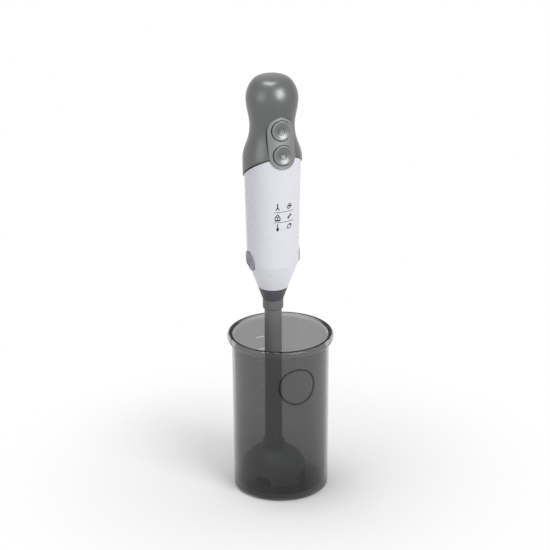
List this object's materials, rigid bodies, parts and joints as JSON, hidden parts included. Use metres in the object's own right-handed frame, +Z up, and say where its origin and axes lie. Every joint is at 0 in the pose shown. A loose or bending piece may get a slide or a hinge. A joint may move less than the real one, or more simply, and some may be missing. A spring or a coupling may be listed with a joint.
{
  "type": "toy hand blender",
  "caption": "Toy stick blender with a waisted grip, push buttons, bell foot and blunt blade, standing in a clear rimmed measuring cup.",
  "frame": {"origin": "centre of the measuring cup's underside, the lowest point of the part", "axes": "+Z up along the cup, -Y out of the push buttons' side, +X to the viewer's right in front"},
  "size_m": [0.088, 0.088, 0.358],
  "materials": {
    "cup_clear": "clear smoky plastic",
    "foot_grey": "satin",
    "cone_grey": "satin",
    "bush_white": "plain",
    "steel": "bright",
    "dog_dark": "plain",
    "blade_grey": "satin",
    "body_white": "gloss",
    "grip_silver": "silver paint",
    "button_silver": "silver paint",
    "release_grey": "satin",
    "spring_steel": "bright",
    "switch_black": "plain",
    "board_green": "lacquered",
    "inner_white": "plain",
    "motor_steel": "plated",
    "cell_metal": "plain wrapped cell",
    "speaker_black": "plain"
  },
  "bodies": {
    "cup": {"measuring_cup": "cup_clear"},
    "foot": {"blade_guard": "foot_grey", "shaft_tube": "foot_grey", "foot_cone": "cone_grey", "lower_bush": "bush_white", "upper_bush": "bush_white"},
    "drive_line": {"drive_shaft": "steel", "drive_dog": "dog_dark", "blade_hub": "blade_grey", "blade": "blade_grey"},
    "handle": {"front_shell": "body_white", "rear_shell": "body_white", "grip_front": "grip_silver", "grip_rear": "grip_silver", "button_bezel": "grip_silver", "lower_button_spring": "spring_steel", "upper_button_spring": "spring_steel", "lower_switch": "switch_black", "upper_switch": "switch_black", "switch_board": "board_green", "board_screws": "steel", "sound_chip": "switch_black", "right_release_spring": "spring_steel", "left_release_spring": "spring_steel", "drive_housing": "inner_white", "motor": "motor_steel", "battery_tray": "inner_white", "contact_plates": "spring_steel", "contact_springs": "spring_steel", "right_cell": "cell_metal", "middle_cell": "cell_metal", "left_cell": "cell_metal", "speaker": "speaker_black", "shell_screws": "steel"},
    "motor_rotor": {"motor_shaft": "steel", "motor_dog": "dog_dark"},
    "lower_button": {"lower_button": "button_silver"},
    "upper_button": {"upper_button": "button_silver"},
    "left_release": {"left_release": "release_grey"},
    "right_release": {"right_release": "release_grey"},
    "battery_door": {"battery_door": "body_white", "door_screw": "steel"}
  },
  "joints": [
    {"name": "lift_out", "type": "slide", "parent": "cup", "child": "foot", "axis": [0, 0, 1], "range_m": [0, 0.15]},
    {"name": "handle_off", "type": "slide", "parent": "foot", "child": "handle", "axis": [0, 0, 1], "range_m": [0, 0.02]},
    {"name": "blade_spin", "type": "hinge", "parent": "foot", "child": "drive_line", "pos_m": [-0.0041, 0.0055, 0.0095], "axis": [0, 0, 1], "continuous": true},
    {"name": "motor_spin", "type": "hinge", "parent": "handle", "child": "motor_rotor", "pos_m": [-0.0041, 0.0055, 0.0095], "axis": [0, 0, 1], "continuous": true},
    {"name": "lower_button_press", "type": "slide", "parent": "handle", "child": "lower_button", "axis": [0, 0.9848, -0.1736], "range_m": [0, 0.0018], "stiffness_N_per_m": 400, "springref_m": -0.002, "deforming": ["lower_button_spring"]},
    {"name": "upper_button_press", "type": "slide", "parent": "handle", "child": "upper_button", "axis": [0, 0.9848, -0.1736], "range_m": [0, 0.0018], "stiffness_N_per_m": 400, "springref_m": -0.002, "deforming": ["upper_button_spring"]},
    {"name": "left_release_press", "type": "slide", "parent": "handle", "child": "left_release", "axis": [1, 0, 0], "range_m": [0, 0.0014], "stiffness_N_per_m": 500, "springref_m": -0.002, "deforming": ["left_release_spring"]},
    {"name": "right_release_press", "type": "slide", "parent": "handle", "child": "right_release", "axis": [-1, 0, 0], "range_m": [0, 0.0014], "stiffness_N_per_m": 500, "springref_m": -0.002, "deforming": ["right_release_spring"]},
    {"name": "battery_door_off", "type": "slide", "parent": "handle", "child": "battery_door", "axis": [0, 1, 0], "range_m": [0, 0.03]}
  ],
  "couplings": [
    {"joint": "motor_spin", "follows": "blade_spin", "ratio": 1}
  ]
}
